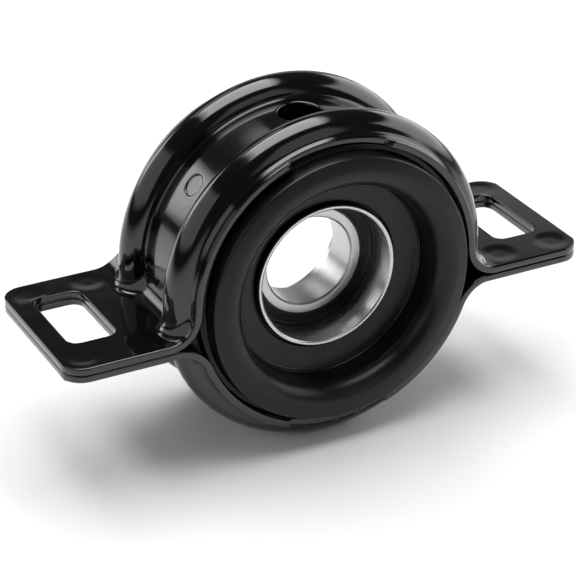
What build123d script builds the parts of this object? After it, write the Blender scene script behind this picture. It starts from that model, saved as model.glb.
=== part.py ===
from build123d import *
import math
import os

# Driveshaft centre bearing: a ball bearing bonded into a rubber cushion that two pressed steel half
# brackets hold. Millimetres. The origin is the middle of the bearing on the shaft axis, X runs from
# ear to ear, Y along the shaft to the rear and Z up.

# Inner race
shaft_radius = 15.0
race_width = 13.0
inner_race_wall = 2.408
bore_lead_length = 1.2
bore_lead_depth = 0.45
seal_land_height = 3.3
seal_land_length = 1.7

# Balls and the tracks they run in
ball_count = 11
ball_radius = 3.572
track_looseness = 0.128
running_clearance = 0.02
inner_shoulder_gap = 1.95
outer_shoulder_gap = 1.8

# Outer race, one wide turned ring with a thin nose at each end
outer_race_wall = 2.9
body_length = 15.2
nose_reach = 3.2
nose_wall = 1.2
nose_chamfer_length = 0.3
nose_chamfer_depth = 0.5
body_chamfer = 0.5

# Ball cage, two pressed ribbon halves riveted together between the balls
cage_sheet = 0.5
cage_width = 2.8
pocket_clearance = 0.05
rivet_radius = 0.5
rivet_head_radius = 0.9
rivet_head_height = 0.35
rivet_fit = 0.02

# Seals, a rubber skin moulded over a steel core
seal_thickness = 1.2
seal_skin = 0.6
core_sheet = 0.4
seal_lip_clearance = 0.1
seal_lip_width = 0.6
seal_groove_depth = 0.7
seal_groove_width = 0.9
seal_fit = 0.05

# Rubber cushion
hub_rubber = 6.1
hub_recess = 1.0
hub_overlap = 1.5
hub_slope = 1.1
valley_step = 0.8
roll_wall_offset = 0.4
roll_radius = 6.0
roll_most_of_width = 0.6
roll_rise = 12.7
rim_drop = 0.8
rim_gap = 2.2
rim_groove_depth = 6.0
rim_round = 0.8
hub_edge_round = 0.4
cavity_half_width = 8.0
cavity_floor_rubber = 7.0
cavity_corner = 3.0
rib_clearance = 0.1

# Bracket ring
sheet = 2.5
tube_inner_radius = 47.0
bead_radius = 6.0
bead_spacing = 33.4
channel_foot_radius = 0.8
lip_foot_radius = 2.0
front_lip_length = 3.9
rear_lip_length = 9.1
split_drop = 9.0

# Ears and the bends that join them to the ring
ear_margin = 7.1
ear_corner_radius = 7.0
upper_lip_bend = 9.0
lower_lip_bend = 6.5
channel_bend = 3.5
bead_foot_bend = 2.0
hidden_bend = 1.5
edge_round = 0.5

# Slots in the ears
slot_spacing = 152.4
slot_width = 16.0
slot_length = 32.0
slot_corner_radius = 4.0
slot_rearward = 5.2

# Marks and openings in the brackets
vent_radius = 7.25
coin_radius = 4.0
coin_depth = 0.4
coin_angle = 139.0
weld_radius = 4.5
weld_depth = 0.4
weld_slot_gap = 4.2
weld_tip_inset = 7.7
weld_front_inset = 7.6
weld_rear_inset = 6.9
relief_depth = 2.0
relief_half_angle = 20.5
relief_corner_radius = 1.2
nub_width = 1.6
nub_height = 1.2
nub_angles = (-90.0, -81.0)

# Sizes that follow from those above
overlap = 1.0
tiny = 0.001
tube_outer_radius = tube_inner_radius + sheet
bead_y = bead_spacing / 2
ring_front = -(bead_y + bead_radius + front_lip_length)
ring_rear = bead_y + bead_radius + rear_lip_length
ring_length = ring_rear - ring_front
ring_middle = (ring_front + ring_rear) / 2
ear_span = slot_spacing + slot_width + 2 * ear_margin
seal_land_radius = shaft_radius + seal_land_height
inner_track_bottom = shaft_radius + inner_race_wall
pitch_radius = inner_track_bottom + running_clearance + ball_radius
outer_track_bottom = pitch_radius + ball_radius + running_clearance
track_radius = ball_radius + track_looseness
inner_shoulder_radius = pitch_radius - inner_shoulder_gap
outer_bore_radius = pitch_radius + outer_shoulder_gap
race_outer_radius = outer_track_bottom + outer_race_wall
nose_outer_radius = outer_bore_radius + nose_wall
nose_length = body_length + nose_reach
cage_inner_radius = pitch_radius - cage_width / 2
cage_outer_radius = pitch_radius + cage_width / 2
pocket_radius = ball_radius + pocket_clearance
seal_face = race_width / 2
seal_back = seal_face - seal_thickness
seal_groove_radius = outer_bore_radius + seal_groove_depth


def closed_face(edges):
    """Face inside a closed run of edges in the XY plane."""
    return make_face(Curve() + edges)


def polygon(points):
    """Straight edges from each point to the next, without closing."""
    return [Line(start, end) for start, end in zip(points[:-1], points[1:])]


def turned(points):
    """Solid of revolution about the shaft axis from corner points in radius and Y."""
    return revolve(make_face(Polyline(*points, close=True)), Axis.Y)


def arc_between(centre, start, end):
    """Arc about a centre, the short way from start to end."""
    middle = (start - centre).normalized() + (end - centre).normalized()
    return ThreePointArc(start, centre + middle.normalized() * (start - centre).length, end)


def race(front_half, bottom_radius, shoulder_radius, outward):
    """Race turned from the corners of its front half, their mirror images and its round ball track.

    The track lies outward of the balls with 1 and inward of them with -1."""
    centre_radius = bottom_radius - outward * track_radius
    half_width = math.sqrt(track_radius**2 - (shoulder_radius - centre_radius) ** 2)
    front_half = front_half + [(shoulder_radius, -half_width)]
    rear_half = [(radius, -y) for radius, y in reversed(front_half)]
    track = ThreePointArc(front_half[-1], (bottom_radius, 0), rear_half[0])
    edges = polygon(front_half) + [track] + polygon(rear_half) + [Line(rear_half[-1], front_half[0])]
    return revolve(closed_face(edges), Axis.Y)


def inner_race():
    """Inner race with a lead at each end of its bore and a stepped land under each seal."""
    end = race_width / 2
    land_start = end - seal_land_length
    front_half = [
        (shaft_radius, -(end - bore_lead_length)),
        (shaft_radius + bore_lead_depth, -end),
        (seal_land_radius, -end),
        (seal_land_radius, -land_start),
        (inner_shoulder_radius, -land_start),
    ]
    return race(front_half, inner_track_bottom, inner_shoulder_radius, -1)


def outer_race():
    """Wide outer race: nose, seal groove and shoulder at each end of one ball track."""
    groove_front = -(seal_back + seal_groove_width)
    front_half = [
        (race_outer_radius, -(body_length - body_chamfer)),
        (race_outer_radius - body_chamfer, -body_length),
        (nose_outer_radius, -body_length),
        (nose_outer_radius, -nose_length),
        (outer_bore_radius + nose_chamfer_depth, -nose_length),
        (outer_bore_radius, -(nose_length - nose_chamfer_length)),
        (outer_bore_radius, groove_front),
        (seal_groove_radius, groove_front),
        (seal_groove_radius, -seal_back),
        (outer_bore_radius, -seal_back),
    ]
    return race(front_half, outer_track_bottom, outer_bore_radius, 1)


def ball_position(index):
    """Centre of one ball on the pitch circle, the first one straight above the shaft."""
    angle = math.radians(90 + 360 * index / ball_count)
    return Vector(pitch_radius * math.cos(angle), 0, pitch_radius * math.sin(angle))


def rivet_position(index):
    """Place of one rivet, half way between two balls."""
    return ball_position(index + 0.5)


def ball(index):
    """One steel ball."""
    return Pos(ball_position(index)) * Sphere(ball_radius)


def cage_half(side):
    """Pressed ribbon with half a round pocket for each ball, on one side of the middle plane."""
    band = cage_band(side * (pocket_radius + cage_sheet))
    pocket = band & (Pos(ball_position(0)) * Sphere(pocket_radius + cage_sheet))
    hollow = Pos(ball_position(0)) * Sphere(pocket_radius)
    half = cage_band(side * cage_sheet)
    for index in range(ball_count):
        turn = Rot(0, -360 * index / ball_count, 0)
        half = half + turn * pocket
    for index in range(ball_count):
        turn = Rot(0, -360 * index / ball_count, 0)
        half = half - turn * hollow - rivet_shank(index, rivet_radius + rivet_fit)
    return half


def cage_band(depth):
    """Flat ring of the cage's width, from the middle plane to a depth along the shaft."""
    start, end = sorted((0, depth))
    return turned(
        [
            (cage_inner_radius, start),
            (cage_outer_radius, start),
            (cage_outer_radius, end),
            (cage_inner_radius, end),
        ]
    )


def rivet_shank(index, radius):
    """Cylinder through both halves of the cage, parallel to the shaft."""
    return Pos(rivet_position(index)) * Rot(90, 0, 0) * Cylinder(radius, 2 * cage_sheet)


def rivet(index):
    """One rivet with a flat head on each outer face of the cage."""
    body = rivet_shank(index, rivet_radius)
    for side in (-1, 1):
        head_middle = side * (cage_sheet + rivet_head_height / 2)
        head = Rot(90, 0, 0) * Cylinder(rivet_head_radius, rivet_head_height)
        body += Pos(rivet_position(index)) * Pos(0, head_middle, 0) * head
    return body


def seal_core():
    """Steel ring that stiffens the front seal."""
    front = -(seal_face - seal_skin)
    inner = seal_land_radius + seal_lip_clearance + seal_lip_width
    outer = outer_bore_radius - seal_fit
    back = front + core_sheet
    return turned([(inner, front), (outer, front), (outer, back), (inner, back)])


def seal_lip():
    """Rubber of the front seal: skin over the core, lip at the inner race and bead in the groove."""
    lip_radius = seal_land_radius + seal_lip_clearance
    core_inner = lip_radius + seal_lip_width - seal_fit
    bead_inner = outer_bore_radius
    bead_front = -(seal_back + seal_groove_width - seal_fit)
    core_front = -(seal_face - seal_skin)
    bead_outer = seal_groove_radius - seal_fit
    return turned(
        [
            (lip_radius, -seal_face),
            (outer_bore_radius - seal_fit, -seal_face),
            (outer_bore_radius - seal_fit, bead_front),
            (bead_outer, bead_front),
            (bead_outer, -(seal_back + seal_fit)),
            (bead_inner, -(seal_back + seal_fit)),
            (bead_inner, core_front),
            (core_inner, core_front),
            (core_inner, -seal_back),
            (lip_radius, -seal_back),
        ]
    )


def at_rear(front_piece):
    """The same piece turned round to the rear end."""
    return mirror(front_piece, Plane.XZ)


def bead_skin(side, offset):
    """Skin over one bead, from its lip foot to its channel foot, shifted outward by offset.

    Returns the start point, the edges and the end point. The side is -1 in front and 1 behind."""
    crown = Vector(tube_outer_radius, side * bead_y)
    feet = []
    for foot_radius, outward in ((lip_foot_radius, 1), (channel_foot_radius, -1)):
        reach = math.sqrt((bead_radius + foot_radius) ** 2 - foot_radius**2)
        centre = Vector(tube_outer_radius + foot_radius, side * (bead_y + outward * reach))
        on_tube = Vector(tube_outer_radius + offset, centre.Y)
        on_bead = crown + (centre - crown).normalized() * (bead_radius + offset)
        feet.append((centre, on_tube, on_bead))
    (lip_centre, lip_tube, lip_bead), (channel_centre, channel_tube, channel_bead) = feet
    crest = Vector(tube_outer_radius + bead_radius + offset, side * bead_y)
    edges = [
        arc_between(lip_centre, lip_tube, lip_bead),
        ThreePointArc(lip_bead, crest, channel_bead),
        arc_between(channel_centre, channel_bead, channel_tube),
    ]
    return lip_tube, edges, channel_tube


def ring_solid(offset, extra):
    """Solid disc with the bracket ring's beaded skin, longer by extra at each end."""
    front_start, front_edges, front_end = bead_skin(-1, offset)
    rear_start, rear_edges, rear_end = bead_skin(1, offset)
    front = ring_front - extra
    rear = ring_rear + extra
    radius = tube_outer_radius + offset
    edges = polygon([(0, rear), (0, front), (radius, front), front_start])
    edges += front_edges + [Line(front_end, rear_end)] + rear_edges
    edges += polygon([rear_start, (radius, rear), (0, rear)])
    return revolve(closed_face(edges), Axis.Y)


def bend_centre(up, bend):
    """Centre of the round bend between the right ear and the ring, in X and height."""
    height = -split_drop + up * (sheet + bend)
    reach = tube_outer_radius + bend
    return Vector(math.sqrt(reach**2 - height**2), height)


def bend_section(up, bend, offset, y):
    """Area under the bend from the right ear to the ring, at one place along the shaft.

    With offset 0 it is the web that the outer bend encloses, and with -sheet the hollow below it."""
    radius = bend - offset
    centre = bend_centre(up, bend)
    on_ear = Vector(centre.X, centre.Y - up * radius)
    on_ring = centre * (1 - radius / centre.length)
    beyond = -split_drop + up * min(offset, 0) * overlap
    inside = on_ring.X - 2 * sheet
    edges = [arc_between(centre, on_ear, on_ring)]
    edges += polygon([on_ring, (inside, on_ring.Y), (inside, beyond), (centre.X, beyond), on_ear])
    return Plane.XZ.offset(-y) * closed_face(edges)


def bend_run(up, offset, lip_bend):
    """Bends along the right ear: wide at the lips, narrow in the channel, hidden under the beads."""
    foot = bead_y + bead_radius + overlap
    channel = bead_y - bead_radius
    runs = [
        (ring_front, lip_bend, -foot, lip_bend),
        (-foot, lip_bend, -bead_y, hidden_bend),
        (-bead_y, hidden_bend, -channel, channel_bend),
        (-channel, channel_bend, channel, channel_bend),
        (channel, channel_bend, bead_y, hidden_bend),
        (bead_y, hidden_bend, foot, lip_bend),
        (foot, lip_bend, ring_rear, lip_bend),
    ]
    return [
        loft([bend_section(up, first, offset, start), bend_section(up, last, offset, end)])
        for start, first, end, last in runs
    ]


def bead_foot(up, side, offset):
    """Round foot where one bead stands on the right ear, turned about the bead's own upright axis."""
    centre_height = -split_drop + up * (sheet + bead_foot_bend)
    radius = bead_foot_bend - offset
    centre = Vector(bead_radius + bead_foot_bend, centre_height)
    on_ear = Vector(centre.X, centre_height - up * radius)
    on_bead = Vector(bead_radius + offset, centre_height)
    beyond = -split_drop + up * min(offset, 0) * overlap
    edges = [arc_between(centre, on_ear, on_bead)]
    edges += polygon([on_bead, (0, centre_height), (0, beyond), (centre.X, beyond), on_ear])
    foot = revolve(Plane.XZ * closed_face(edges), Axis.Z)
    return Pos(math.sqrt(tube_outer_radius**2 - centre_height**2), side * bead_y, 0) * foot


def on_both_sides(pieces):
    """The pieces of the right side and their mirror images on the left."""
    return pieces + [mirror(piece, Plane.YZ) for piece in pieces]


def half_bracket(up, lip_bend):
    """One pressed half, the upper with up 1 and the lower with -1, before its marks and openings."""
    half_height = tube_outer_radius + bead_radius + 2 * split_drop
    keep = Pos(0, ring_middle, -split_drop + up * half_height / 2)
    keep *= Box(ear_span + 2 * overlap, ring_length, half_height)
    ears = extrude(RectangleRounded(ear_span, ring_length, ear_corner_radius), up * sheet)
    outer_skin = ring_solid(0, 0) & keep
    outer_skin += Pos(0, ring_middle, -split_drop) * ears
    for web in on_both_sides(bend_run(up, 0, lip_bend) + [bead_foot(up, s, 0) for s in (-1, 1)]):
        outer_skin += web
    outer_skin &= keep
    inside = [bead_foot(up, s, -sheet) for s in (-1, 1)]
    outer_skin -= ring_solid(-sheet, overlap)
    for hollow in on_both_sides(bend_run(up, -sheet, lip_bend) + inside):
        outer_skin -= hollow
    return outer_skin


def on_outer_skin(point, up, lip_bend):
    """Whether a point of a lip or an ear lies on the outer skin of the ring, a bend or an ear."""
    centre = bend_centre(up, lip_bend)
    gaps = (
        math.hypot(point.X, point.Z) - tube_outer_radius,
        math.hypot(abs(point.X) - centre.X, point.Z - centre.Y) - lip_bend,
        point.Z + split_drop - up * sheet,
    )
    return min(abs(gap) for gap in gaps) < tiny


def sheared_edges(half, up, lip_bend):
    """Outer edges of one half along its rims, over the bends, round the ears and round the slots."""
    slot_start = (slot_spacing - slot_width) / 2
    chosen = []
    for edge in half.edges():
        middle = edge.position_at(0.5)
        size = edge.bounding_box().size
        on_rim = size.Y < tiny and min(middle.Y - ring_front, ring_rear - middle.Y) < tiny
        on_ear = size.Z < tiny and abs(middle.X) > slot_start - tiny
        if (on_rim or on_ear) and on_outer_skin(middle, up, lip_bend):
            chosen.append(edge)
    return chosen


def cut_half(up, lip_bend):
    """One half with its slots, the rounded outer edges of its outline, and its front lip set back."""
    half = half_bracket(up, lip_bend) - ear_slots()
    return fillet(sheared_edges(half, up, lip_bend), edge_round) - front_relief(up)


def ear_slots():
    """Both slots, as prisms through the ears of the two halves."""
    outline = RectangleRounded(slot_width, slot_length, slot_corner_radius)
    slot = Pos(slot_spacing / 2, slot_rearward, -split_drop - 2 * sheet) * extrude(outline, 4 * sheet)
    return slot + mirror(slot, Plane.YZ)


def weld_dents(up):
    """Shallow round dents of the spot welds on the outer face of one half's ears."""
    curve_radius = (weld_radius**2 + weld_depth**2) / (2 * weld_depth)
    skin = -split_drop + up * sheet
    inboard = (slot_spacing - slot_width) / 2 - weld_slot_gap
    outboard = ear_span / 2 - weld_tip_inset
    cap = Pos(0, 0, up * (curve_radius - weld_depth)) * Sphere(curve_radius) & Cylinder(weld_radius, sheet)
    return [
        Pos(side * x, y, skin) * cap
        for side in (-1, 1)
        for x in (inboard, outboard)
        for y in (ring_front + weld_front_inset, ring_rear - weld_rear_inset)
    ]


def front_relief(up):
    """Sector that sets the front lip back, at the top of the upper half or the foot of the lower."""
    reach = tube_outer_radius + bead_radius
    corners = [
        (reach * math.cos(math.radians(angle)), up * reach * math.sin(math.radians(angle)))
        for angle in (90 + relief_half_angle, 90 - relief_half_angle)
    ]
    sector = make_face(Polyline((0, 0), corners[0], (0, up * 2 * reach), corners[1], close=True))
    front = Plane.XZ.offset(overlap - ring_front)
    notch = extrude(front * sector, -(relief_depth + overlap))
    back = [edge for edge in notch.edges() if is_back_side(edge, reach)]
    notch = fillet(back, relief_corner_radius)
    if up > 0:
        return notch
    for angle in nub_angles:
        across = tube_outer_radius * math.cos(math.radians(angle))
        nub_middle = ring_front + relief_depth - nub_height / 2
        notch -= Pos(across, nub_middle, -tube_outer_radius) * Box(nub_width, nub_height, 4 * sheet)
    return notch


def is_back_side(edge, reach):
    """Whether an edge is one of the two at the back of the relief that point at the shaft."""
    at_back = abs(edge.position_at(0.5).Y - ring_front - relief_depth) < tiny
    return at_back and abs(edge.length - reach) < tiny


def upper_bracket():
    """Upper half with its vent hole and its small round pressed mark."""
    bracket = cut_half(1, upper_lip_bend)
    bracket -= Pos(0, 0, tube_outer_radius) * Cylinder(vent_radius, 4 * sheet)
    coin = Rot(0, 90, 0) * Cylinder(coin_radius, 2 * sheet)
    bracket -= Rot(0, -coin_angle, 0) * Pos(tube_outer_radius - coin_depth + sheet, 0, 0) * coin
    for dent in weld_dents(1):
        bracket -= dent
    return bracket


def lower_bracket():
    """Lower half."""
    bracket = cut_half(-1, lower_lip_bend)
    for dent in weld_dents(-1):
        bracket -= dent
    return bracket


def rounded(face, corners, radius):
    """The face with the corners nearest to the given points rounded."""
    chosen = []
    for corner in corners:
        place = Vector(*corner)
        chosen.append(min(face.vertices(), key=lambda vertex: (vertex.center() - place).length))
    return fillet(chosen, radius)


def rubber_cushion():
    """One moulding, open outward under the channel, with a roll at each end and a rib in each bead."""
    hub_outer = race_outer_radius + hub_rubber
    hub_end = -(body_length + hub_overlap)
    recess = nose_outer_radius + hub_recess
    valley = (hub_outer, hub_end - hub_slope)
    wall = hub_outer + roll_wall_offset
    rim_radius = tube_inner_radius - rim_gap
    roll = min(roll_radius, roll_most_of_width * (rim_radius - wall))
    crest = Vector(wall + roll, hub_end - hub_slope - roll_rise)
    roll_centre = crest + Vector(0, roll)
    rim = (rim_radius, crest.Y + rim_drop)
    groove_end = rim[1] + rim_groove_depth
    seat = tube_inner_radius - rib_clearance
    rib = bead_radius - sheet - rib_clearance
    floor = race_outer_radius + cavity_floor_rubber
    roll_start = Vector(wall, roll_centre.Y)
    edges = polygon([(race_outer_radius, 0), (race_outer_radius, -body_length), (recess, -body_length)])
    edges += polygon([(recess, -body_length), (recess, hub_end), valley, (wall, valley[1] - valley_step)])
    edges += [Line((wall, valley[1] - valley_step), roll_start)]
    edges += [arc_between(roll_centre, roll_start, crest), TangentArc(crest, Vector(*rim), tangent=(1, 0))]
    edges += polygon([rim, (rim[0], groove_end), (seat, groove_end), (seat, -bead_y - rib)])
    edges += [Line((seat, -bead_y - rib), (tube_outer_radius, -bead_y - rib))]
    edges += [
        ThreePointArc(
            (tube_outer_radius, -bead_y - rib),
            (tube_outer_radius + rib, -bead_y),
            (tube_outer_radius, -bead_y + rib),
        )
    ]
    edges += polygon([(tube_outer_radius, -bead_y + rib), (seat, -bead_y + rib)])
    edges += polygon([(seat, -bead_y + rib), (seat, -cavity_half_width)])
    edges += polygon([(seat, -cavity_half_width), (floor, -cavity_half_width), (floor, 0)])
    edges += [Line((floor, 0), (race_outer_radius, 0))]
    half = closed_face(edges)
    half = rounded(half, [rim, (rim[0], groove_end)], rim_round)
    half = rounded(half, [(recess, hub_end)], hub_edge_round)
    half = rounded(half, [(floor, -cavity_half_width)], cavity_corner)
    front = revolve(half, Axis.Y)
    return front + at_rear(front)


def write(name, shape):
    """Write one named piece."""
    export_step(shape, f"parts/{name}.step")


def main():
    os.makedirs("parts", exist_ok=True)
    write("upper_bracket", upper_bracket())
    write("lower_bracket", lower_bracket())
    write("rubber_cushion", rubber_cushion())
    write("outer_race", outer_race())
    write("inner_race", inner_race())
    for index in range(ball_count):
        write(f"ball_{index + 1}", ball(index))
    write("cage_front", cage_half(-1))
    write("cage_rear", cage_half(1))
    write("cage_rivets", Compound(children=[rivet(index) for index in range(ball_count)]))
    write("front_seal_core", seal_core())
    write("rear_seal_core", at_rear(seal_core()))
    write("front_seal_lip", seal_lip())
    write("rear_seal_lip", at_rear(seal_lip()))


main()
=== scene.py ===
import math

import bmesh
import bpy
import numpy as np
from bpy.props import FloatProperty, FloatVectorProperty, IntProperty, PointerProperty
from mathutils import Matrix, Vector


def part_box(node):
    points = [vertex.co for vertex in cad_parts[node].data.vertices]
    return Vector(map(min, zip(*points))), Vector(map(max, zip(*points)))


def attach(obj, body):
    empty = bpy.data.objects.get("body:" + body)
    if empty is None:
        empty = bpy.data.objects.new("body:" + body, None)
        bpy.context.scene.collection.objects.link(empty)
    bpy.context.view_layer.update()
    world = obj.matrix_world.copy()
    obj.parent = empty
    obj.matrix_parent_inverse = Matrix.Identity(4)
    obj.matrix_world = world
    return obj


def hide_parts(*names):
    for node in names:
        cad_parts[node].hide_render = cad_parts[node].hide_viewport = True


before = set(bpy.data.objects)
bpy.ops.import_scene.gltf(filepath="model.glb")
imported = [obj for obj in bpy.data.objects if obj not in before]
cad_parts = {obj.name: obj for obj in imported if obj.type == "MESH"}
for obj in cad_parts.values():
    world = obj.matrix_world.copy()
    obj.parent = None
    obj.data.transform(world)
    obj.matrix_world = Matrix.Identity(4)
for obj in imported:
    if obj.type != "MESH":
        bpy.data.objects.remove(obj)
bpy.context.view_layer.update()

bl_info = {
    "name": "Driveshaft centre bearing",
    "version": (1, 0, 0),
    "blender": (4, 5, 0),
    "location": "3D View > Sidebar > Centre bearing",
    "description": "Dresses a driveshaft centre bearing: brackets, rubber cushion and ball bearing",
    "category": "Mesh",
}

MM = 0.001
BALL_COUNT = sum(name.startswith("ball_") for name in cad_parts)

# the middle range of a noise pattern, where nearly all of its values lie
NOISE_RANGE = (0.3, 0.7)

# turned pieces: the step round a rounded corner, the points along a ball track, and the distance
# at which two points are one
ARC_STEP = math.radians(11)
TRACK_POINTS = 15
SAME_POINT = 0.002 * MM

# the skins' grid: its step, the height above an ear at which the ring's columns end, and the place
# along the ear at which the ear's own begin
GRID_STEP = 1.1 * MM
BEND_RISE = 13 * MM
BEND_END = 63 * MM
# the bend between them: its columns, and how far the corner of its first curves is moved outward
BEND_COLUMNS = 34
BEND_CLEARANCE = 1.2 * MM
# rows of the grid over each stretch of a half's section, from its front edge to its rear edge
FRONT_LIP_ROWS, LIP_FOOT_ROWS, BEAD_SIDE_ROWS = 4, 4, 10
CHANNEL_FOOT_ROWS, CHANNEL_ROWS, REAR_LIP_ROWS = 3, 24, 9
# the columns round an ear's corner, by their angle
CORNER_TURNS = np.radians([0, 15, 30, 45, 60, 75, 90])
# how often the bend is evened out, how often it is moved onto the skin each time, over which step
# the skin's slope is taken, and the least slope that counts
SMOOTHING_ROUNDS = 60
PROJECTION_ROUNDS = 4
SLOPE_STEP = 0.002 * MM
LEAST_SLOPE = 0.05
# heights above an ear between which a bead's foot on the ear passes into its foot on the ring, in
# parts of the ear foot's radius
FOOT_SPREAD = (0.6, 1.8)

# sheared edges: the angle from which an edge is rounded, its faces, and the width of a face that
# counts as none
SHARP_EDGE = math.radians(50)
EDGE_SEGMENTS = 3
SLIVER = 0.001 * MM

# weld dents: their places from the slot and from the ear's front and rear edges, the parts of the
# radius between which the side rises, and the distances off the ear between which they fade out
DENT_INBOARD, DENT_OUTBOARD = 12.6 * MM, 7.4 * MM
DENT_FROM_FRONT, DENT_FROM_REAR = 7.6 * MM, 6.9 * MM
DENT_SIDE = (0.4, 1.0)
DENT_HEIGHT = (0.02 * MM, 0.6 * MM)

# the front lip's set back stretch and its nubs, in degrees from the top or the foot of the ring
RELIEF_END = (19.9, 21.1)
NUB_ANGLES = (0, 9)
NUB_FLANK = (0.6, 1.3)
# the height above an ear over which the rear lip moves back
REAR_RISE = (0.5 * MM, 9 * MM)

# openings: how far round a slot and round a round one the grid is cleared, how far the round mark
# lies in front of the middle, and how far below its rim the skin still belongs to an opening
SLOT_MARGIN, ROUND_MARGIN = 1.2 * MM, 1.3 * MM
COIN_FORWARD = 0.7 * MM
OPENING_REACH = 3 * MM
# rings of faces from the grid to an opening: share of the way, inset in millimetres, share of the
# depth; the last ones are the wall and floor of a pressed mark
OPENING_RINGS = [(0.4, 0, 0), (0.75, 0, 0), (1, 0, 0)]
MARK_RINGS = [(1, 0.18, 0.15), (1, 0.34, 0.6), (1, 0.5, 0.9), (1, 0.8, 1.0), (1, 2.0, 1.0)]

# the bearing, in millimetres: the radius of the tracks' round groove and the radii of the tracks'
# bottoms, where the outer race's wide body ends, where the inner race's shoulder ends, and the
# front and rear wall and the depth of the seal's groove, with the room left round the seal in it
TRACK_ROUND = 3.7
INNER_TRACK, OUTER_TRACK = 17.408, 24.592
BODY_END = 15.2
SHOULDER_END = 4.8
GROOVE_START, GROOVE_END = 5.3, 6.2
GROOVE_DEPTH = 0.7
SEAL_GAP = 0.05

# the stage: the floor's side in metres and the width of the camera's sensor in millimetres
FLOOR_SIZE = 4
SENSOR_WIDTH = 36


def cad_corners(node):
    """Lowest and highest corner of a CAD node, in metres."""
    low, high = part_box(node)
    return Vector(low), Vector(high)


UPPER_LOW, UPPER_HIGH = cad_corners("upper_bracket")
LOWER_LOW, LOWER_HIGH = cad_corners("lower_bracket")
RACE_HIGH = cad_corners("outer_race")[1]
INNER_HIGH = cad_corners("inner_race")[1]


def length(name, default_mm, description):
    """A length that the user can change, given in millimetres."""
    return FloatProperty(
        name=name, description=description, default=default_mm * MM, unit="LENGTH", precision=5
    )


def linear(hex_colour):
    """Turn an sRGB hex colour into linear red, green and blue."""
    channels = [int(hex_colour[place : place + 2], 16) / 255 for place in (1, 3, 5)]
    return [c / 12.92 if c <= 0.04045 else ((c + 0.055) / 1.055) ** 2.4 for c in channels]


def colour(name, hex_colour, description):
    """A colour that the user can change."""
    default = linear(hex_colour)
    return FloatVectorProperty(
        name=name, description=description, default=default, subtype="COLOR", size=3, min=0, max=1
    )


def brightness(name, default, description):
    """A brightness that the user can change."""
    return FloatProperty(name=name, description=description, default=default, min=0)


class BracketSizes(bpy.types.PropertyGroup):
    """Sizes of the two pressed halves."""

    sheet: length("Sheet", 2.5, "Thickness of the pressed steel sheet")
    tube_radius: length("Ring radius", 49.5, "Outer radius of the ring between its beads")
    bead_radius: length("Bead radius", 6.0, "Outer radius of the round beads")
    bead_place: length("Bead place", 16.7, "Distance of each bead from the middle of the bearing")
    lip_foot: length("Lip foot", 2.0, "Radius between a bead and the lip beside it")
    channel_foot: length("Channel foot", 0.8, "Radius between a bead and the channel")
    ear_foot: length("Ear foot", 3.4, "Radius where a bead stands on an ear")
    channel_bend: length("Channel bend", 6.5, "Radius between the channel and an ear")
    upper_lip_bend: length("Upper lip bend", 9.0, "Radius between the upper lips and an ear")
    lower_lip_bend: length("Lower lip bend", 6.5, "Radius between the lower lips and an ear")
    split_drop: length("Split drop", 9.0, "Depth of the joint between the halves below the shaft")
    ear_corner: length("Ear corner", 7.0, "Corner radius of the ears")
    edge_round: length("Edge round", 0.5, "Rounding of the sheared edges under the paint")
    slot_place: length("Slot place", 76.2, "Distance of each slot from the shaft")
    slot_width: length("Slot width", 16.0, "Width of a slot across the shaft")
    slot_length: length("Slot length", 32.0, "Length of a slot along the shaft")
    slot_corner: length("Slot corner", 4.0, "Corner radius of a slot")
    slot_rearward: length("Slot rearward", 5.2, "How far the slots lie behind the bearing's middle")
    vent_radius: length("Vent radius", 7.25, "Radius of the vent hole in the top of the channel")
    relief_depth: length("Relief depth", 2.0, "How far the front lips are set back at their middle")
    rear_relief: length("Rear relief", 3.3, "How far the rear lip is set back between the ears")
    nub_height: length("Nub height", 1.2, "Height of the two nubs on the lower half's front lip")
    dent_radius: length("Weld dent radius", 6.3, "Radius of a spot weld's dent")
    dent_depth: length("Weld dent depth", 0.16, "Depth of a spot weld's dent")
    coin_radius: length("Mark radius", 4.0, "Radius of the round mark pressed into the channel")
    coin_depth: length("Mark depth", 0.3, "Depth of the round mark")
    coin_angle: FloatProperty(
        name="Mark angle",
        description="Angle of the mark from the top",
        default=math.radians(-49),
        subtype="ANGLE",
    )


class CushionSizes(bpy.types.PropertyGroup):
    """Sizes of the rubber cushion."""

    hub_radius: length("Hub radius", 33.6, "Outer radius of the hub's flat end")
    hub_end: length("Hub end", 16.7, "Distance of the hub's end from the middle")
    roll_radius: length("Roll radius", 6.0, "Radius of the roll's inner shoulder")
    rim_radius: length("Rim radius", 44.8, "Outer radius of the roll at its rim")
    seat_radius: length("Seat radius", 46.9, "Radius at which the rubber sits in the ring")
    steps: IntProperty(name="Steps", description="Faces round the cushion", default=224, min=24)


class BearingSizes(bpy.types.PropertyGroup):
    """Sizes of the ball bearing."""

    bore_radius: length("Bore radius", 15.0, "Radius of the bore that takes the shaft")
    land_radius: length("Land radius", 18.3, "Radius on which the seals run")
    outer_bore: length("Outer bore", 22.8, "Radius of the bright wall in front of the seal")
    nose_radius: length("Nose radius", 24.0, "Outer radius of the nose")
    steps: IntProperty(name="Steps", description="Faces round the races", default=192, min=24)


class Finishes(bpy.types.PropertyGroup):
    """Colours of the finishes."""

    paint: colour("Bracket paint", "#08080A", "Gloss black dip coat on the brackets")
    rubber: colour("Cushion rubber", "#0C0C0C", "Moulded black rubber")
    seal: colour("Seal rubber", "#080808", "Black rubber of the seals")
    race: colour("Race steel", "#C8C8C9", "Ground bearing steel")
    ball: colour("Ball steel", "#D4D4D6", "Lapped bearing steel")
    cage: colour("Cage steel", "#A9A7A3", "Pressed mild steel")


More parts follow.
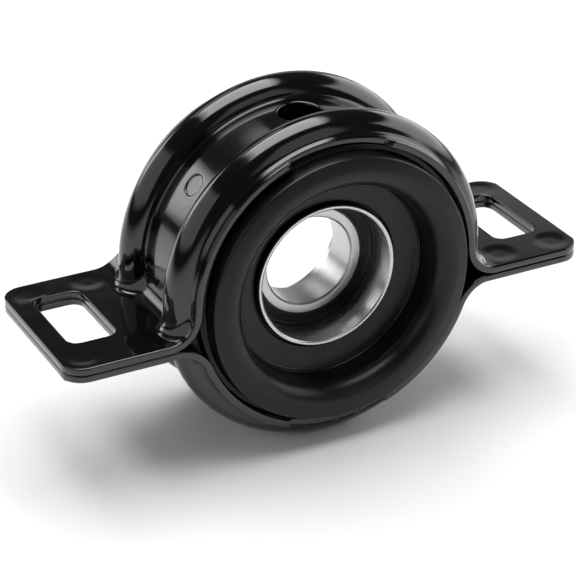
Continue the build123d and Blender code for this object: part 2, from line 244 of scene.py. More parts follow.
class StageSizes(bpy.types.PropertyGroup):
    """Camera, lamps and floor."""

    camera_place: FloatVectorProperty(
        name="Camera place",
        description="Where the camera stands",
        default=(-0.29965, -0.56422, 0.32742),
        subtype="TRANSLATION",
    )
    camera_turn: FloatVectorProperty(
        name="Camera turn",
        description="How the camera is turned",
        default=[math.radians(angle) for angle in (61.961, -0.051, -27.601)],
        subtype="EULER",
    )
    lens: FloatProperty(name="Lens", description="Focal length in millimetres", default=140.0)
    overhead: brightness("Overhead", 5.2, "Brightness of the overhead box")
    left: brightness("Left", 0.8, "Brightness of the left box")
    right: brightness("Right", 2.1, "Brightness of the right box")
    back: brightness("Back", 0.4, "Brightness of the box behind")
    front: brightness("Front", 0.6, "Brightness of the box in front")
    strip: brightness("Strip", 2.9, "Brightness of the narrow box behind on the left")
    sky: brightness("Sky", 0.05, "Brightness of the dim sky")
    floor: colour("Floor", "#F4F4F4", "Pale paper floor")


GROUPS = {
    "cb_brackets": BracketSizes,
    "cb_cushion": CushionSizes,
    "cb_bearing": BearingSizes,
    "cb_finishes": Finishes,
    "cb_stage": StageSizes,
}


def add(tree, kind, values=None, links=None, **settings):
    """Add one node with its settings, its sockets' values and its links."""
    made = tree.nodes.new(kind)
    for name, value in settings.items():
        setattr(made, name, value)
    for socket, value in (values or {}).items():
        made.inputs[socket].default_value = value
    for socket, source in (links or {}).items():
        tree.links.new(source, made.inputs[socket])
    return made


def new_material(name, tint, **sockets):
    """Material with one Principled shader, whose constants stand on its own sockets."""
    material = bpy.data.materials.new(name)
    material.use_nodes = True
    tree = material.node_tree
    shader = tree.nodes["Principled BSDF"]
    shader.inputs["Base Color"].default_value = (*tint, 1)
    for socket, value in sockets.items():
        shader.inputs[socket].default_value = value
    return material, tree, shader


def object_noise(tree, size_mm, detail=2.0, vector=None):
    """Noise whose lumps are as large as the given size."""
    where = vector or add(tree, "ShaderNodeTexCoord").outputs["Object"]
    values = {"Scale": 1 / (size_mm * MM), "Detail": detail}
    return add(tree, "ShaderNodeTexNoise", values, {"Vector": where}).outputs["Fac"]


def ranged(tree, source, low, high):
    """Map a pattern's middle range to the given range."""
    lowest, highest = NOISE_RANGE
    values = {"From Min": lowest, "From Max": highest, "To Min": low, "To Max": high}
    return add(tree, "ShaderNodeMapRange", values, {"Value": source}).outputs["Result"]


def bumped(tree, shader, height, depth_mm):
    """Give the shader a bump of the given depth."""
    values = {"Distance": depth_mm * MM, "Strength": 1}
    bump = add(tree, "ShaderNodeBump", values, {"Height": height})
    tree.links.new(bump.outputs["Normal"], shader.inputs["Normal"])


def paint_material():
    """Gloss black dip coat: the sheet shows a slight waviness and the film a fine orange peel.

    The waves in its shine are 9 mm long, and those of the orange peel 1.6 mm."""
    tint = bpy.context.scene.cb_finishes.paint
    sockets = {"IOR": 1.5, "Coat Weight": 0.5, "Coat Roughness": 0.04}
    material, tree, shader = new_material("dip_coated_steel_gloss_black", tint, **sockets)
    tree.links.new(ranged(tree, object_noise(tree, 9.0), 0.08, 0.14), shader.inputs["Roughness"])
    bumped(tree, shader, object_noise(tree, 1.6), 0.002)
    return material


def rubber_material():
    """Moulded natural rubber: satin black with a fine grain from the mould.

    The real grain is too fine to show, so it is drawn 0.7 mm coarse."""
    tint = bpy.context.scene.cb_finishes.rubber
    sockets = {"IOR": 1.5, "Specular IOR Level": 0.3}
    material, tree, shader = new_material("moulded_natural_rubber_black", tint, **sockets)
    tree.links.new(ranged(tree, object_noise(tree, 5.0), 0.28, 0.36), shader.inputs["Roughness"])
    bumped(tree, shader, object_noise(tree, 0.7, 4.0), 0.02)
    return material


def seal_material():
    """Moulded nitrile rubber of the seals: smooth satin black.

    The real grain is too fine to show, so it is drawn 0.5 mm coarse."""
    tint = bpy.context.scene.cb_finishes.seal
    sockets = {"IOR": 1.5, "Specular IOR Level": 0.3}
    material, tree, shader = new_material("moulded_nitrile_seal_black", tint, **sockets)
    tree.links.new(ranged(tree, object_noise(tree, 3.0), 0.32, 0.42), shader.inputs["Roughness"])
    bumped(tree, shader, object_noise(tree, 0.5), 0.01)
    return material


def turned_vector(tree):
    """Coordinates of radius and place along the shaft, so that a pattern runs round the shaft."""
    place = add(tree, "ShaderNodeTexCoord").outputs["Object"]
    parts = add(tree, "ShaderNodeSeparateXYZ", links={0: place}).outputs
    flat = add(tree, "ShaderNodeCombineXYZ", links={"X": parts["X"], "Y": parts["Z"]}).outputs[0]
    radius = add(tree, "ShaderNodeVectorMath", links={0: flat}, operation="LENGTH").outputs["Value"]
    return add(tree, "ShaderNodeCombineXYZ", links={"X": radius, "Y": parts["Y"]}).outputs[0]


def race_material(name, low, high):
    """Bearing steel: bright, with fine rings that the grinding wheel leaves round the shaft.

    The real rings are too fine to show, so they are drawn 0.45 mm wide."""
    tint = bpy.context.scene.cb_finishes.race
    material, tree, shader = new_material(name, tint, Metallic=1.0)
    rings = object_noise(tree, 0.45, 3.0, turned_vector(tree))
    tree.links.new(ranged(tree, rings, low, high), shader.inputs["Roughness"])
    bumped(tree, shader, rings, 0.0006)
    return material


def ball_material():
    """Lapped bearing steel: a mirror with hardly any haze, in faint clouds 1.5 mm wide."""
    tint = bpy.context.scene.cb_finishes.ball
    material, tree, shader = new_material("lapped_bearing_steel_mirror", tint, Metallic=1.0)
    tree.links.new(ranged(tree, object_noise(tree, 1.5), 0.05, 0.1), shader.inputs["Roughness"])
    return material


def cage_material():
    """Pressed mild steel strip: dull, with a light grain from rolling.

    The real grain is too fine to show, so it is drawn 0.6 mm coarse."""
    tint = bpy.context.scene.cb_finishes.cage
    material, tree, shader = new_material("pressed_mild_steel_dull", tint, Metallic=1.0)
    grain = object_noise(tree, 0.6, 3.0)
    tree.links.new(ranged(tree, grain, 0.36, 0.5), shader.inputs["Roughness"])
    bumped(tree, shader, grain, 0.006)
    return material


def pick(piece):
    """Select one object alone and make it the active one."""
    bpy.ops.object.select_all(action="DESELECT")
    piece.select_set(True)
    bpy.context.view_layer.objects.active = piece


def only_material(target, material):
    """Leave one material on an object."""
    target.data.materials.clear()
    target.data.materials.append(material)


def finished(piece, material, body, slot, *nodes, smooth_angle=32):
    """Give a piece its material, shading and body, and hide the CAD nodes it stands for; the record
    slot is not used.
    """
    only_material(piece, material)
    pick(piece)
    bpy.ops.object.shade_smooth_by_angle(angle=math.radians(smooth_angle))
    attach(piece, body)
    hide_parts(*nodes)


def applied(piece, kind, **settings):
    """Add one modifier and apply it."""
    pick(piece)
    modifier = piece.modifiers.new(kind.lower(), kind)
    for name, value in settings.items():
        setattr(modifier, name, value)
    bpy.ops.object.modifier_apply(modifier=modifier.name)


def rounded_outline(corners):
    """Points of radius and Y along a closed outline of (radius, Y, corner radius) in mm."""
    points = []
    for index, (radius, along, round_by) in enumerate(corners):
        here = Vector((radius, along))
        if not round_by:
            points.append(here)
            continue
        before = Vector(corners[index - 1][:2]) - here
        after = Vector(corners[(index + 1) % len(corners)][:2]) - here
        angle = before.angle(after)
        setback = round_by / math.tan(angle / 2)
        middle = (before.normalized() + after.normalized()).normalized()
        centre = here + middle * (round_by / math.sin(angle / 2))
        start = here + before.normalized() * setback - centre
        end = here + after.normalized() * setback - centre
        turn = math.atan2(start.x * end.y - start.y * end.x, start.dot(end))
        count = max(3, round(abs(turn) / ARC_STEP))
        for step in range(count + 1):
            cos, sin = math.cos(turn * step / count), math.sin(turn * step / count)
            spoke = (start.x * cos - start.y * sin, start.x * sin + start.y * cos)
            points.append(centre + Vector(spoke))
    return points


def spun(name, corners, steps):
    """Piece turned about the shaft axis from a closed outline."""
    outline = rounded_outline(corners)
    mesh = bpy.data.meshes.new(name)
    edges = [(index, (index + 1) % len(outline)) for index in range(len(outline))]
    mesh.from_pydata([(point.x * MM, point.y * MM, 0) for point in outline], edges, [])
    piece = bpy.data.objects.new(name, mesh)
    bpy.context.collection.objects.link(piece)
    pick(piece)
    bpy.ops.object.mode_set(mode="EDIT")
    bpy.ops.mesh.select_all(action="SELECT")
    bpy.ops.mesh.spin(steps=steps, angle=math.tau, center=(0, 0, 0), axis=(0, 1, 0))
    bpy.ops.mesh.select_all(action="SELECT")
    bpy.ops.mesh.remove_doubles(threshold=SAME_POINT)
    bpy.ops.mesh.normals_make_consistent(inside=False)
    bpy.ops.object.mode_set(mode="OBJECT")
    return piece


def both_ends(front_half):
    """A closed outline from the corners of its front half and their mirror images behind."""
    rear_half = [(radius, -along, round_by) for radius, along, round_by in reversed(front_half)]
    return front_half + rear_half


def smooth_step(value, low, high):
    """Rise from 0 to 1 between two values, without a corner at either."""
    share = np.clip((value - low) / (high - low), 0, 1)
    return share * share * (3 - 2 * share)


def filleted(first, second, radius):
    """Distance to two surfaces that a round fillet joins."""
    return np.maximum(radius, np.minimum(first, second)) - np.hypot(
        np.maximum(radius - first, 0), np.maximum(radius - second, 0)
    )


class Half:
    """Places and radii that differ between the upper and the lower half.

    Each half is shaped with its ring upward, and the lower one is turned over at the end."""

    def __init__(self, sizes, up):
        self.up = up
        self.lip_bend = sizes.upper_lip_bend if up > 0 else sizes.lower_lip_bend
        self.ear_height = sizes.sheet - up * sizes.split_drop


def skin_distance(points, sizes, half):
    """Distance of points from the outer skin of one half."""
    across, along, height = points[..., 0], np.abs(points[..., 1]), points[..., 2]
    radius = np.hypot(across, height)
    ring = radius - sizes.tube_radius
    ear = height - half.ear_height
    inner_side = sizes.bead_place - sizes.bead_radius
    outer_side = sizes.bead_place + sizes.bead_radius
    lip_share = smooth_step(along, inner_side, outer_side)
    bend = sizes.channel_bend + (half.lip_bend - sizes.channel_bend) * lip_share
    bead = np.hypot(ring, along - sizes.bead_place) - sizes.bead_radius
    ring_foot = sizes.channel_foot + (sizes.lip_foot - sizes.channel_foot) * lip_share
    spread_start, spread_end = (share * sizes.ear_foot for share in FOOT_SPREAD)
    near_ear = 1 - smooth_step(ear, spread_start, spread_end)
    foot = ring_foot + (sizes.ear_foot - ring_foot) * near_ear
    return filleted(filleted(ear, ring, bend), bead, foot)


def onto_skin(points, sizes, half, held_along):
    """Move points onto the skin along its slope; the held rows keep their place along the shaft."""
    for _ in range(PROJECTION_ROUNDS):
        distance = skin_distance(points, sizes, half)
        slope = np.zeros_like(points)
        for axis in range(3):
            shift = np.zeros(3)
            shift[axis] = SLOPE_STEP
            ahead = skin_distance(points + shift, sizes, half)
            behind = skin_distance(points - shift, sizes, half)
            slope[..., axis] = (ahead - behind) / (2 * SLOPE_STEP)
        slope[held_along, :, 1] = 0
        size = np.maximum((slope**2).sum(-1), LEAST_SLOPE)
        points = points - slope * (distance / size)[..., None]
    return points


def arc_points(centre, start, end, count):
    """Points along the short arc about a centre, without its last point."""
    first = math.atan2(start[1] - centre[1], start[0] - centre[0])
    turn = math.atan2(end[1] - centre[1], end[0] - centre[0]) - first
    turn = (turn + math.pi) % math.tau - math.pi
    radius = math.hypot(start[0] - centre[0], start[1] - centre[1])
    angles = first + turn * (np.arange(count) / count)
    return [
        (centre[0] + radius * math.cos(angle), centre[1] + radius * math.sin(angle))
        for angle in angles
    ]


def ring_rows(sizes, front, rear):
    """Radius and place along the shaft of the ring's skin, from its front edge to its rear edge."""
    tube, bead, place = sizes.tube_radius, sizes.bead_radius, sizes.bead_place

    def foot(radius, outward):
        reach = math.sqrt((bead + radius) ** 2 - radius**2)
        centre = (tube + radius, -(place + outward * reach))
        share = bead / (bead + radius)
        touch = (tube + radius * share, -place - outward * reach * share)
        return centre, touch

    lip_centre, lip_touch = foot(sizes.lip_foot, 1)
    channel_centre, channel_touch = foot(sizes.channel_foot, -1)
    lip_end, channel_end = lip_centre[1], channel_centre[1]
    middle, crest = (tube, -place), (tube + bead, -place)
    bead_rows = arc_points(lip_centre, (tube, lip_end), lip_touch, LIP_FOOT_ROWS)
    bead_rows += arc_points(middle, lip_touch, crest, BEAD_SIDE_ROWS)
    bead_rows += arc_points(middle, crest, channel_touch, BEAD_SIDE_ROWS)
    bead_rows += arc_points(channel_centre, channel_touch, (tube, channel_end), CHANNEL_FOOT_ROWS)
    bead_rows.append((tube, channel_end))
    front_lip = [(tube, y) for y in np.linspace(front, lip_end, FRONT_LIP_ROWS, endpoint=False)]
    rear_lip = [(tube, y) for y in np.linspace(rear, -lip_end, REAR_LIP_ROWS, endpoint=False)]
    channel = [(tube, y) for y in np.linspace(channel_end, -channel_end, CHANNEL_ROWS)[1:-1]]
    rear_rows = [(radius, -along) for radius, along in bead_rows]
    return np.array(front_lip + bead_rows + channel + rear_rows[::-1] + rear_lip[::-1])


def bend_columns(sizes, half, rows, start, ear_y):
    """Columns of points from the ring's last column over the bend and the bead feet to the ear.

    They start as plain curves, are moved onto the skin, and are then evened out over it."""
    slope = np.gradient(rows, axis=0)
    normal = np.stack([slope[:, 1], -slope[:, 0]], -1)
    normal /= np.linalg.norm(normal, axis=1)[:, None]
    ring_x = math.sqrt(sizes.tube_radius**2 - half.ear_height**2)
    level = np.full(len(rows), half.ear_height)
    corner_x = ring_x + rows[:, 0] - sizes.tube_radius + BEND_CLEARANCE * normal[:, 0]
    corner_y = rows[:, 1] + BEND_CLEARANCE * normal[:, 1]
    corner = np.stack([corner_x, corner_y, level], -1)
    end = np.stack([np.full(len(rows), BEND_END), ear_y, level], -1)
    share = np.linspace(0, 1, BEND_COLUMNS)[None, :, None]
    points = (1 - share) ** 2 * start[:, None] + 2 * share * (1 - share) * corner[:, None]
    points = points + share**2 * end[:, None]
    held = [0, -1]
    points = onto_skin(points, sizes, half, held)
    for _ in range(SMOOTHING_ROUNDS):
        along_row = (points[:, :-2] + points[:, 2:]) / 2
        across_rows = (points[:-2] + points[2:]) / 2
        middle = (along_row[1:-1] + across_rows[:, 1:-1]) / 2
        moved = points.copy()
        moved[1:-1, 1:-1] += 0.5 * (middle - points[1:-1, 1:-1])
        moved[held, 1:-1] += 0.5 * (along_row[held] - points[held, 1:-1])
        moved[held, :, 1] = points[held, :, 1]
        moved[:, [0, -1]] = points[:, [0, -1]]
        points = onto_skin(moved, sizes, half, held)
        points[:, [0, -1]] = moved[:, [0, -1]]
    return points


def ear_columns(sizes, half, share, tip, front, rear):
    """Columns of points over the flat of the ear, out to its rounded tip."""
    corner = sizes.ear_corner
    columns = [(x, 0.0) for x in np.arange(BEND_END, tip - corner, GRID_STEP)[1:]]
    for turn in CORNER_TURNS:
        columns.append((tip - corner + corner * math.sin(turn), corner * (1 - math.cos(turn))))
    level = np.full(len(share), half.ear_height)
    points = []
    for x, inset in columns:
        along = front + inset + share * (rear - front - 2 * inset)
        points.append(np.stack([np.full(len(share), x), along, level], -1))
    return np.stack(points, 1)


def half_skin(sizes, half, front, rear, tip):
    """Grid of points over one half's outer skin, rows front to rear and columns ear to ear."""
    rows = ring_rows(sizes, front, rear)
    lengths = np.concatenate([[0], np.cumsum(np.linalg.norm(np.diff(rows, axis=0), axis=1))])
    share = lengths / lengths[-1]
    last_angle = math.acos((half.ear_height + BEND_RISE) / sizes.tube_radius)
    angles = np.linspace(0, last_angle, round(last_angle * sizes.tube_radius / GRID_STEP))
    ring = np.stack(
        [
            rows[:, :1] * np.sin(angles),
            np.repeat(rows[:, 1:], len(angles), 1),
            rows[:, :1] * np.cos(angles),
        ],
        -1,
    )
    bend = bend_columns(sizes, half, rows, ring[:, -1], front + share * (rear - front))
    ear = ear_columns(sizes, half, share, tip, front, rear)
    right = np.concatenate([ring, bend[:, 1:], ear], 1)
    left = right[:, :0:-1] * np.array([-1, 1, 1])
    return np.concatenate([left, right], 1)


def grid_piece(name, points):
    """Piece whose grid of faces passes through the given rows and columns of points."""
    row_count, column_count = points.shape[:2]
    bpy.ops.object.select_all(action="DESELECT")
    divisions = {"x_subdivisions": column_count - 1, "y_subdivisions": row_count - 1}
    bpy.ops.mesh.primitive_grid_add(size=2, **divisions)
    piece = bpy.context.object
    piece.name = name
    flat = np.empty(len(piece.data.vertices) * 3)
    piece.data.vertices.foreach_get("co", flat)
    flat = flat.reshape(-1, 3)
    column = np.rint((flat[:, 0] + 1) / 2 * (column_count - 1)).astype(int)
    row = np.rint((flat[:, 1] + 1) / 2 * (row_count - 1)).astype(int)
    piece.data.vertices.foreach_set("co", points[row, column].ravel())
    piece.data.update()
    return piece


def rounded_box_radius(angle, half_x, half_y, corner):
    """Distance from the middle of a rounded rectangle to its outline, in one direction."""
    cos, sin = abs(math.cos(angle)), abs(math.sin(angle))
    straight = min(half_x / max(cos, 1e-9), half_y / max(sin, 1e-9))
    x, y = straight * cos, straight * sin
    if x <= half_x - corner or y <= half_y - corner:
        return straight
    centre_x, centre_y = half_x - corner, half_y - corner
    along = centre_x * cos + centre_y * sin
    off = centre_x**2 + centre_y**2 - along**2
    return along + math.sqrt(max(corner**2 - off, 0))


def open_hole(piece, centre, half_x, half_y, corner, margin, height_of, depth=0):
    """Cut a rounded opening in a grid skin, with rings of faces from the grid to its outline.

    With a depth it is a pressed mark with a floor instead of an opening."""
    mesh = bmesh.new()
    mesh.from_mesh(piece.data)
    lowest = height_of(abs(centre[0]) + half_x) - OPENING_REACH

    def near(place, reach):
        off_x, off_y = abs(place.x - centre[0]), abs(place.y - centre[1])
        return off_x < half_x + reach and off_y < half_y + reach

    inside = [
        face
        for face in mesh.faces
        if near(face.calc_center_median(), margin) and face.calc_center_median().z > lowest
    ]
    bmesh.ops.delete(mesh, geom=inside, context="FACES")
    outer = [
        vertex
        for vertex in mesh.verts
        if vertex.is_boundary and near(vertex.co, 3 * margin) and vertex.co.z > lowest
    ]
    outer.sort(key=lambda vertex: math.atan2(vertex.co.y - centre[1], vertex.co.x - centre[0]))
    rings = [outer]
    for share, inset, drop in OPENING_RINGS + (MARK_RINGS if depth else []):
        ring = []
        for vertex in outer:
            angle = math.atan2(vertex.co.y - centre[1], vertex.co.x - centre[0])
            reach = rounded_box_radius(angle, half_x, half_y, corner) - inset * MM
            target = (centre[0] + reach * math.cos(angle), centre[1] + reach * math.sin(angle))
            place = vertex.co.xy.lerp(Vector(target), share)
            ring.append(mesh.verts.new((place.x, place.y, height_of(place.x) - drop * depth)))
        rings.append(ring)
    for first, second in zip(rings[:-1], rings[1:]):
        for index in range(len(outer)):
            after = (index + 1) % len(outer)
            mesh.faces.new((first[index], first[after], second[after], second[index]))
    if depth:
        middle = mesh.verts.new((centre[0], centre[1], height_of(centre[0]) - depth))
        for index in range(len(outer)):
            mesh.faces.new((rings[-1][index], rings[-1][(index + 1) % len(outer)], middle))
    bmesh.ops.recalc_face_normals(mesh, faces=mesh.faces)
    mesh.to_mesh(piece.data)
    mesh.free()


def dented(points, sizes, half, front, rear):
    """Press the spot welds' dents into both ears."""
    for side in (-1, 1):
        for across in (sizes.slot_place - DENT_INBOARD, sizes.slot_place + DENT_OUTBOARD):
            for along in (front + DENT_FROM_FRONT, rear - DENT_FROM_REAR):
                away = np.hypot(points[..., 0] - side * across, points[..., 1] - along)
                depth = sizes.dent_depth * (1 - smooth_step(away / sizes.dent_radius, *DENT_SIDE))
                off_ear = np.abs(points[..., 2] - half.ear_height)
                points[..., 2] -= depth * (1 - smooth_step(off_ear, *DENT_HEIGHT))
    return points


def set_back(points, sizes, half, front, rear):
    """Set the rear lip back between the ears, and the front lip over a stretch at the ring's top.

    On the lower half that stretch keeps two nubs."""
    reach = math.sqrt((sizes.bead_radius + sizes.lip_foot) ** 2 - sizes.lip_foot**2)
    foot = -(sizes.bead_place + reach)
    angle = np.degrees(np.arctan2(points[..., 0], points[..., 2]))
    share = 1 - smooth_step(np.abs(angle), *RELIEF_END)
    if half.up < 0:
        for nub_angle in NUB_ANGLES:
            near = 1 - smooth_step(np.abs(angle - nub_angle), *NUB_FLANK)
            share = share - near * sizes.nub_height / sizes.relief_depth
    along = points[..., 1]
    depth = sizes.relief_depth
    moved = front + depth + (along - front) * (foot - front - depth) / (foot - front)
    along = np.where(along < foot, along + (moved - along) * share, along)
    raised = smooth_step(points[..., 2] - half.ear_height, *REAR_RISE)
    rearward = np.clip((along + foot) / (rear + foot), 0, 1)
    points[..., 1] = along - sizes.rear_relief * raised * rearward
    return points


def bracket_half(name, up):
    """One pressed half as a sheet with thickness, openings, dents and rounded edges."""
    sizes = bpy.context.scene.cb_brackets
    half = Half(sizes, up)
    low, high = (UPPER_LOW, UPPER_HIGH) if up > 0 else (LOWER_LOW, LOWER_HIGH)
    points = half_skin(sizes, half, low.y, high.y, high.x)
    points = dented(points, sizes, half, low.y, high.y)
    points = set_back(points, sizes, half, low.y, high.y)
    piece = grid_piece(name, points)
    slot = (sizes.slot_width / 2, sizes.slot_length / 2, sizes.slot_corner, SLOT_MARGIN)
    for side in (-1, 1):
        centre = (side * sizes.slot_place, sizes.slot_rearward)
        open_hole(piece, centre, *slot, lambda across: half.ear_height)
    if up > 0:

        def channel_height(across):
            return math.sqrt(sizes.tube_radius**2 - across * across)

        vent, coin = sizes.vent_radius, sizes.coin_radius
        open_hole(piece, (0, 0), vent, vent, vent, ROUND_MARGIN, channel_height)
        turn_round_shaft(piece, -sizes.coin_angle)
        mark = (coin, coin, coin, ROUND_MARGIN, channel_height, sizes.coin_depth)
        open_hole(piece, (0, -COIN_FORWARD), *mark)
        turn_round_shaft(piece, sizes.coin_angle)
    outward_skin(piece)
    even = {"use_even_offset": True, "use_quality_normals": True}
    applied(piece, "SOLIDIFY", thickness=sizes.sheet, offset=-1, **even)
    sharp = {"limit_method": "ANGLE", "angle_limit": SHARP_EDGE, "use_clamp_overlap": False}
    applied(piece, "BEVEL", width=sizes.edge_round, segments=EDGE_SEGMENTS, **sharp)
    without_slivers(piece)
    if up < 0:
        turn_over(piece)
    return piece


def without_slivers(piece):
    """Remove the faces without width that rounding leaves beside a short edge."""
    bpy.ops.object.mode_set(mode="EDIT")
    bpy.ops.mesh.select_all(action="SELECT")
    bpy.ops.mesh.dissolve_degenerate(threshold=SLIVER)
    bpy.ops.object.mode_set(mode="OBJECT")


def outward_skin(piece):
    """Point the skin's faces away from the shaft."""
    mesh = bmesh.new()
    mesh.from_mesh(piece.data)
    top = max(mesh.faces, key=lambda face: face.calc_center_median().z)
    if top.normal.z < 0:
        bmesh.ops.reverse_faces(mesh, faces=mesh.faces)
    mesh.to_mesh(piece.data)
    mesh.free()


def turn_round_shaft(piece, angle):
    """Turn a piece's mesh about the shaft axis."""
    piece.data.transform(Matrix.Rotation(angle, 4, "Y"))


def turn_over(piece):
    """Mirror a piece through the shaft's level plane, with its faces still pointing outward."""
    mesh = bmesh.new()
    mesh.from_mesh(piece.data)
    for vertex in mesh.verts:
        vertex.co.z = -vertex.co.z
    bmesh.ops.reverse_faces(mesh, faces=mesh.faces)
    mesh.to_mesh(piece.data)
    mesh.free()


class CB_OT_brackets(bpy.types.Operator):
    """Shape both bracket halves and give them their gloss black coat"""

    bl_idname = "centre_bearing.brackets"
    bl_label = "Brackets"

    def execute(self, context):
        material = paint_material()
        for node, up in (("upper_bracket", 1), ("lower_bracket", -1)):
            piece = bracket_half(f"{node}_sheet", up)
            finished(piece, material, "mounting", "bracket_paint", node)
        return {"FINISHED"}


class CB_OT_cushion(bpy.types.Operator):
    """Shape the rubber cushion with its two rolls, its ribs and the hollow between them"""

    bl_idname = "centre_bearing.cushion"
    bl_label = "Cushion"

    def execute(self, context):
        sizes = context.scene.cb_cushion
        nose = context.scene.cb_bearing.nose_radius / MM
        race = RACE_HIGH.x / MM
        hub, end = sizes.hub_radius / MM, sizes.hub_end / MM
        rim, seat = sizes.rim_radius / MM, sizes.seat_radius / MM
        wall = hub + 0.4
        crest = end + 13.75
        rib_front, rib_rear, rib_height = 20.1, 13.3, 6.0
        front_half = [
            # the seat on the race, and the thin skin over its nose
            (race, -BODY_END, 0),
            (nose + 0.02, -BODY_END, 0),
            (nose + 0.02, -18.0, 0.05),
            (nose + 0.3, -18.1, 0.12),
            (nose + 0.5, -15.7, 0.2),
            (nose + 1.0, -15.7, 0.2),
            # the hub's flat end, with the mould's fine ridge at its rim
            (nose + 1.0, -end, 0.5),
            (hub - 0.9, -end - 1.0, 0.3),
            (hub - 0.5, -end - 1.35, 0.15),
            (hub - 0.1, -end - 1.0, 0.15),
            # the roll
            (wall - 0.1, -end - 1.5, 0.35),
            (wall - 0.1, -crest, sizes.roll_radius / MM),
            (wall + 6.6, -crest - 0.05, 4.0),
            (rim, -crest + 0.8, 0.9),
            (rim + 0.2, -crest + 6.8, 0.6),
            # the rib that fills the bracket's bead
            (seat, -crest + 6.8, 0.3),
            (seat, -rib_front, 0.4),
            (seat + rib_height, -rib_front, 3.35),
            (seat + rib_height, -rib_rear, 3.35),
            (seat, -rib_rear, 0.4),
            # the hollow between the two rolls
            (seat, -8.0, 0.6),
            (34.5, -8.0, 3.0),
        ]
        piece = spun("rubber_cushion_moulding", both_ends(front_half), sizes.steps)
        rubber = rubber_material()
        finished(piece, rubber, "mounting", "cushion_rubber", "rubber_cushion", smooth_angle=50)
        return {"FINISHED"}


class CB_OT_bearing(bpy.types.Operator):
    """Turn the two races and both seals, and finish the balls and the cage inside"""

    bl_idname = "centre_bearing.bearing"
    bl_label = "Ball bearing"

    def execute(self, context):
        sizes = context.scene.cb_bearing
        bore, land = sizes.bore_radius / MM, sizes.land_radius / MM
        outer, nose = sizes.outer_bore / MM, sizes.nose_radius / MM
        body, nose_end = RACE_HIGH.x / MM, RACE_HIGH.y / MM
        shoulder, half_width = INNER_HIGH.x / MM, INNER_HIGH.y / MM
        ground = race_material("ground_bearing_steel_satin", 0.3, 0.38)
        polished = race_material("polished_bearing_steel_bright", 0.24, 0.3)
        inner_half = [
            (shoulder, -SHOULDER_END, 0),
            (land, -SHOULDER_END, 0),
            (land, -half_width, 0.25),
            (bore + 0.6, -half_width, 0.08),
            (bore, -half_width + 0.6, 0.12),
        ]
        outline = both_ends(inner_half) + track(INNER_TRACK, shoulder, -1)
        piece = spun("inner_race_ring", outline, sizes.steps)
        finished(piece, ground, "shaft_race", "race_steel", "inner_race")
        outer_half = [
            (outer, -GROOVE_START, 0),
            (outer + GROOVE_DEPTH, -GROOVE_START, 0),
            (outer + GROOVE_DEPTH, -GROOVE_END, 0),
            (outer, -GROOVE_END, 0),
            (outer, -nose_end + 0.3, 0.1),
            (outer + 0.5, -nose_end, 0.1),
            (nose, -nose_end, 0.2),
            (nose, -BODY_END, 0),
            (body - 0.5, -BODY_END, 0),
            (body, -BODY_END + 0.5, 0),
        ]
        outline = both_ends(outer_half) + track(OUTER_TRACK, outer, 1)
        piece = spun("outer_race_ring", outline, sizes.steps)
        finished(piece, polished, "mounting", "race_steel", "outer_race")
        rubber = seal_material()
        for end, side in (("front", -1), ("rear", 1)):
            outline = seal_outline(land, outer, half_width, side)
            piece = spun(f"{end}_seal_ring", outline, sizes.steps)
            finished(piece, rubber, "mounting", "seal_rubber", f"{end}_seal_lip")
        cage = cage_material()
        for node in ("cage_front", "cage_rear", "cage_rivets", "front_seal_core", "rear_seal_core"):
            only_material(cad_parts[node], cage)
        balls = ball_material()
        for index in range(1, BALL_COUNT + 1):
            only_material(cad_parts[f"ball_{index}"], balls)
        return {"FINISHED"}


def track(bottom, shoulder, outward):
    """Corners of a ball track's round groove, from its rear shoulder to its front one."""
    centre = bottom - outward * TRACK_ROUND
    half_angle = math.acos((shoulder - centre) * outward / TRACK_ROUND)
    angles = np.linspace(half_angle, -half_angle, TRACK_POINTS)
    return [
        (centre + outward * TRACK_ROUND * math.cos(angle), TRACK_ROUND * math.sin(angle), 0)
        for angle in angles
    ]


def seal_outline(land, outer, face, side):
    """Outline of one seal, with a shallow groove in its face and its bead in the race's groove."""
    bead_face, bead_back = GROOVE_END - SEAL_GAP, GROOVE_START + SEAL_GAP
    bead = outer + GROOVE_DEPTH - SEAL_GAP
    back, lip_back = 5.9, 5.3
    corners = [
        (land + 0.1, -face, 0.15),
        (land + 0.9, -face, 0.15),
        (land + 1.2, -face + 0.25, 0.15),
        (outer - 1.0, -face + 0.25, 0.15),
        (outer - 0.7, -face, 0.15),
        (outer - SEAL_GAP, -face, 0.1),
        (outer - SEAL_GAP, -bead_face, 0),
        (bead, -bead_face, 0),
        (bead, -bead_back, 0),
        (outer, -bead_back, 0),
        (outer, -back, 0),
        (land + 0.65, -back, 0),
        (land + 0.65, -lip_back, 0),
        (land + 0.1, -lip_back, 0),
    ]
    return [(radius, -side * along, round_by) for radius, along, round_by in corners]


def soft_box(name, centre, size, turn, radiance, fade=0.1):
    """Soft box with its own place, size and turn; its brightness falls off in steps over its rim.

    It is four lamps whose sizes differ a little. Each lies 1 mm behind the last, so that a
    reflection shows them added up."""
    shares = (-0.75, -0.25, 0.25, 0.75)
    for index, share in enumerate(shares):
        lamp = bpy.data.lights.new(f"{name}_{index + 1}", "AREA")
        lamp.shape = "RECTANGLE"
        lamp.size, lamp.size_y = size[0] + share * fade, size[1] + share * fade
        lamp.energy = radiance * lamp.size * lamp.size_y * math.pi / len(shares)
        box = bpy.data.objects.new(lamp.name, lamp)
        box.rotation_euler = [math.radians(angle) for angle in turn]
        box.location = Vector(centre) + box.rotation_euler.to_matrix() @ Vector((0, 0, index * MM))
        bpy.context.collection.objects.link(box)


def floor_material(tint):
    """Matt white paper: evenly pale, with a faint mottle 12 mm wide."""
    material, tree, shader = new_material("matt_backdrop_paper_white", tint, IOR=1.45)
    tree.links.new(ranged(tree, object_noise(tree, 12.0), 0.86, 0.94), shader.inputs["Roughness"])
    return material


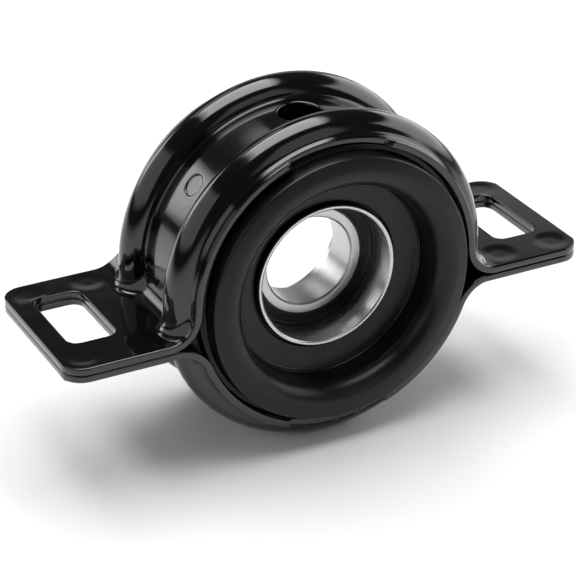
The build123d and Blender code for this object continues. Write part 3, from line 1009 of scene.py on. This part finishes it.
class CB_OT_stage(bpy.types.Operator):
    """Lay the floor, set the soft boxes and place the camera"""

    bl_idname = "centre_bearing.stage"
    bl_label = "Stage"

    def execute(self, context):
        sizes = context.scene.cb_stage
        bpy.ops.object.select_all(action="DESELECT")
        bpy.ops.mesh.primitive_plane_add(size=FLOOR_SIZE, location=(0, 0, LOWER_LOW.z))
        floor = context.object
        floor.name = "floor"
        floor.data.materials.append(floor_material(sizes.floor))
        world = bpy.data.worlds.new("studio")
        world.use_nodes = True
        background = world.node_tree.nodes["Background"]
        background.inputs["Color"].default_value = (1, 1, 1, 1)
        background.inputs["Strength"].default_value = sizes.sky
        context.scene.world = world
        high = 0.5 * sizes.overhead
        # place and size in metres, turn in degrees, brightness, width of the soft rim
        soft_box("overhead_box", (0.0, 0.155, 0.9), (0.7, 1.02), (0, 0, 0), sizes.overhead, 0.12)
        soft_box("left_box", (-0.6, 0.16, 0.32), (0.44, 1.4), (0, -90, 0), sizes.left, 0.06)
        soft_box("right_box", (0.6, 0.02, 0.24), (0.4, 1.04), (0, 90, 0), sizes.right, 0.08)
        soft_box("back_box", (0.5, 0.87, 0.28), (0.7, 0.42), (-90, 0, -30), sizes.back)
        soft_box("strip_box", (-0.5, 0.98, 0.31), (0.36, 0.46), (-90, 0, 27), sizes.strip)
        soft_box("high_box", (-0.086, 0.813, 0.69), (0.44, 0.07), (-50, 0, 6), high, 0.04)
        soft_box("front_box", (0.26, -0.97, 0.45), (0.5, 0.8), (-90, 0, 195), sizes.front)
        camera = bpy.data.cameras.new("camera")
        camera.lens = sizes.lens
        camera.sensor_width = SENSOR_WIDTH
        viewer = bpy.data.objects.new("camera", camera)
        viewer.location = sizes.camera_place
        viewer.rotation_euler = sizes.camera_turn
        context.collection.objects.link(viewer)
        context.scene.camera = viewer
        context.scene.view_settings.view_transform = "Standard"
        return {"FINISHED"}


OPERATORS = (CB_OT_brackets, CB_OT_cushion, CB_OT_bearing, CB_OT_stage)


class CB_PT_panel(bpy.types.Panel):
    """Sizes, colours and steps of the centre bearing"""

    bl_idname = "CB_PT_panel"
    bl_label = "Centre bearing"
    bl_space_type = "VIEW_3D"
    bl_region_type = "UI"
    bl_category = "Centre bearing"

    def draw(self, context):
        for operator in OPERATORS:
            self.layout.operator(operator.bl_idname)
        for group in GROUPS:
            column = self.layout.column(align=True)
            values = getattr(context.scene, group)
            for name in values.bl_rna.properties.keys():
                if name not in ("rna_type", "name"):
                    column.prop(values, name)


def register():
    """Register the sizes, the steps and the panel."""
    for group in GROUPS.values():
        bpy.utils.register_class(group)
    for name, group in GROUPS.items():
        setattr(bpy.types.Scene, name, PointerProperty(type=group))
    for operator in OPERATORS:
        bpy.utils.register_class(operator)
    bpy.utils.register_class(CB_PT_panel)


def unregister():
    """Take away what register added."""
    bpy.utils.unregister_class(CB_PT_panel)
    for operator in OPERATORS:
        bpy.utils.unregister_class(operator)
    for name in GROUPS:
        delattr(bpy.types.Scene, name)
    for group in GROUPS.values():
        bpy.utils.unregister_class(group)


def main():
    """Build the stage and the pieces in order."""
    register()
    bpy.ops.centre_bearing.stage()
    bpy.ops.centre_bearing.brackets()
    bpy.ops.centre_bearing.cushion()
    bpy.ops.centre_bearing.bearing()


if __name__ == "__main__":
    main()
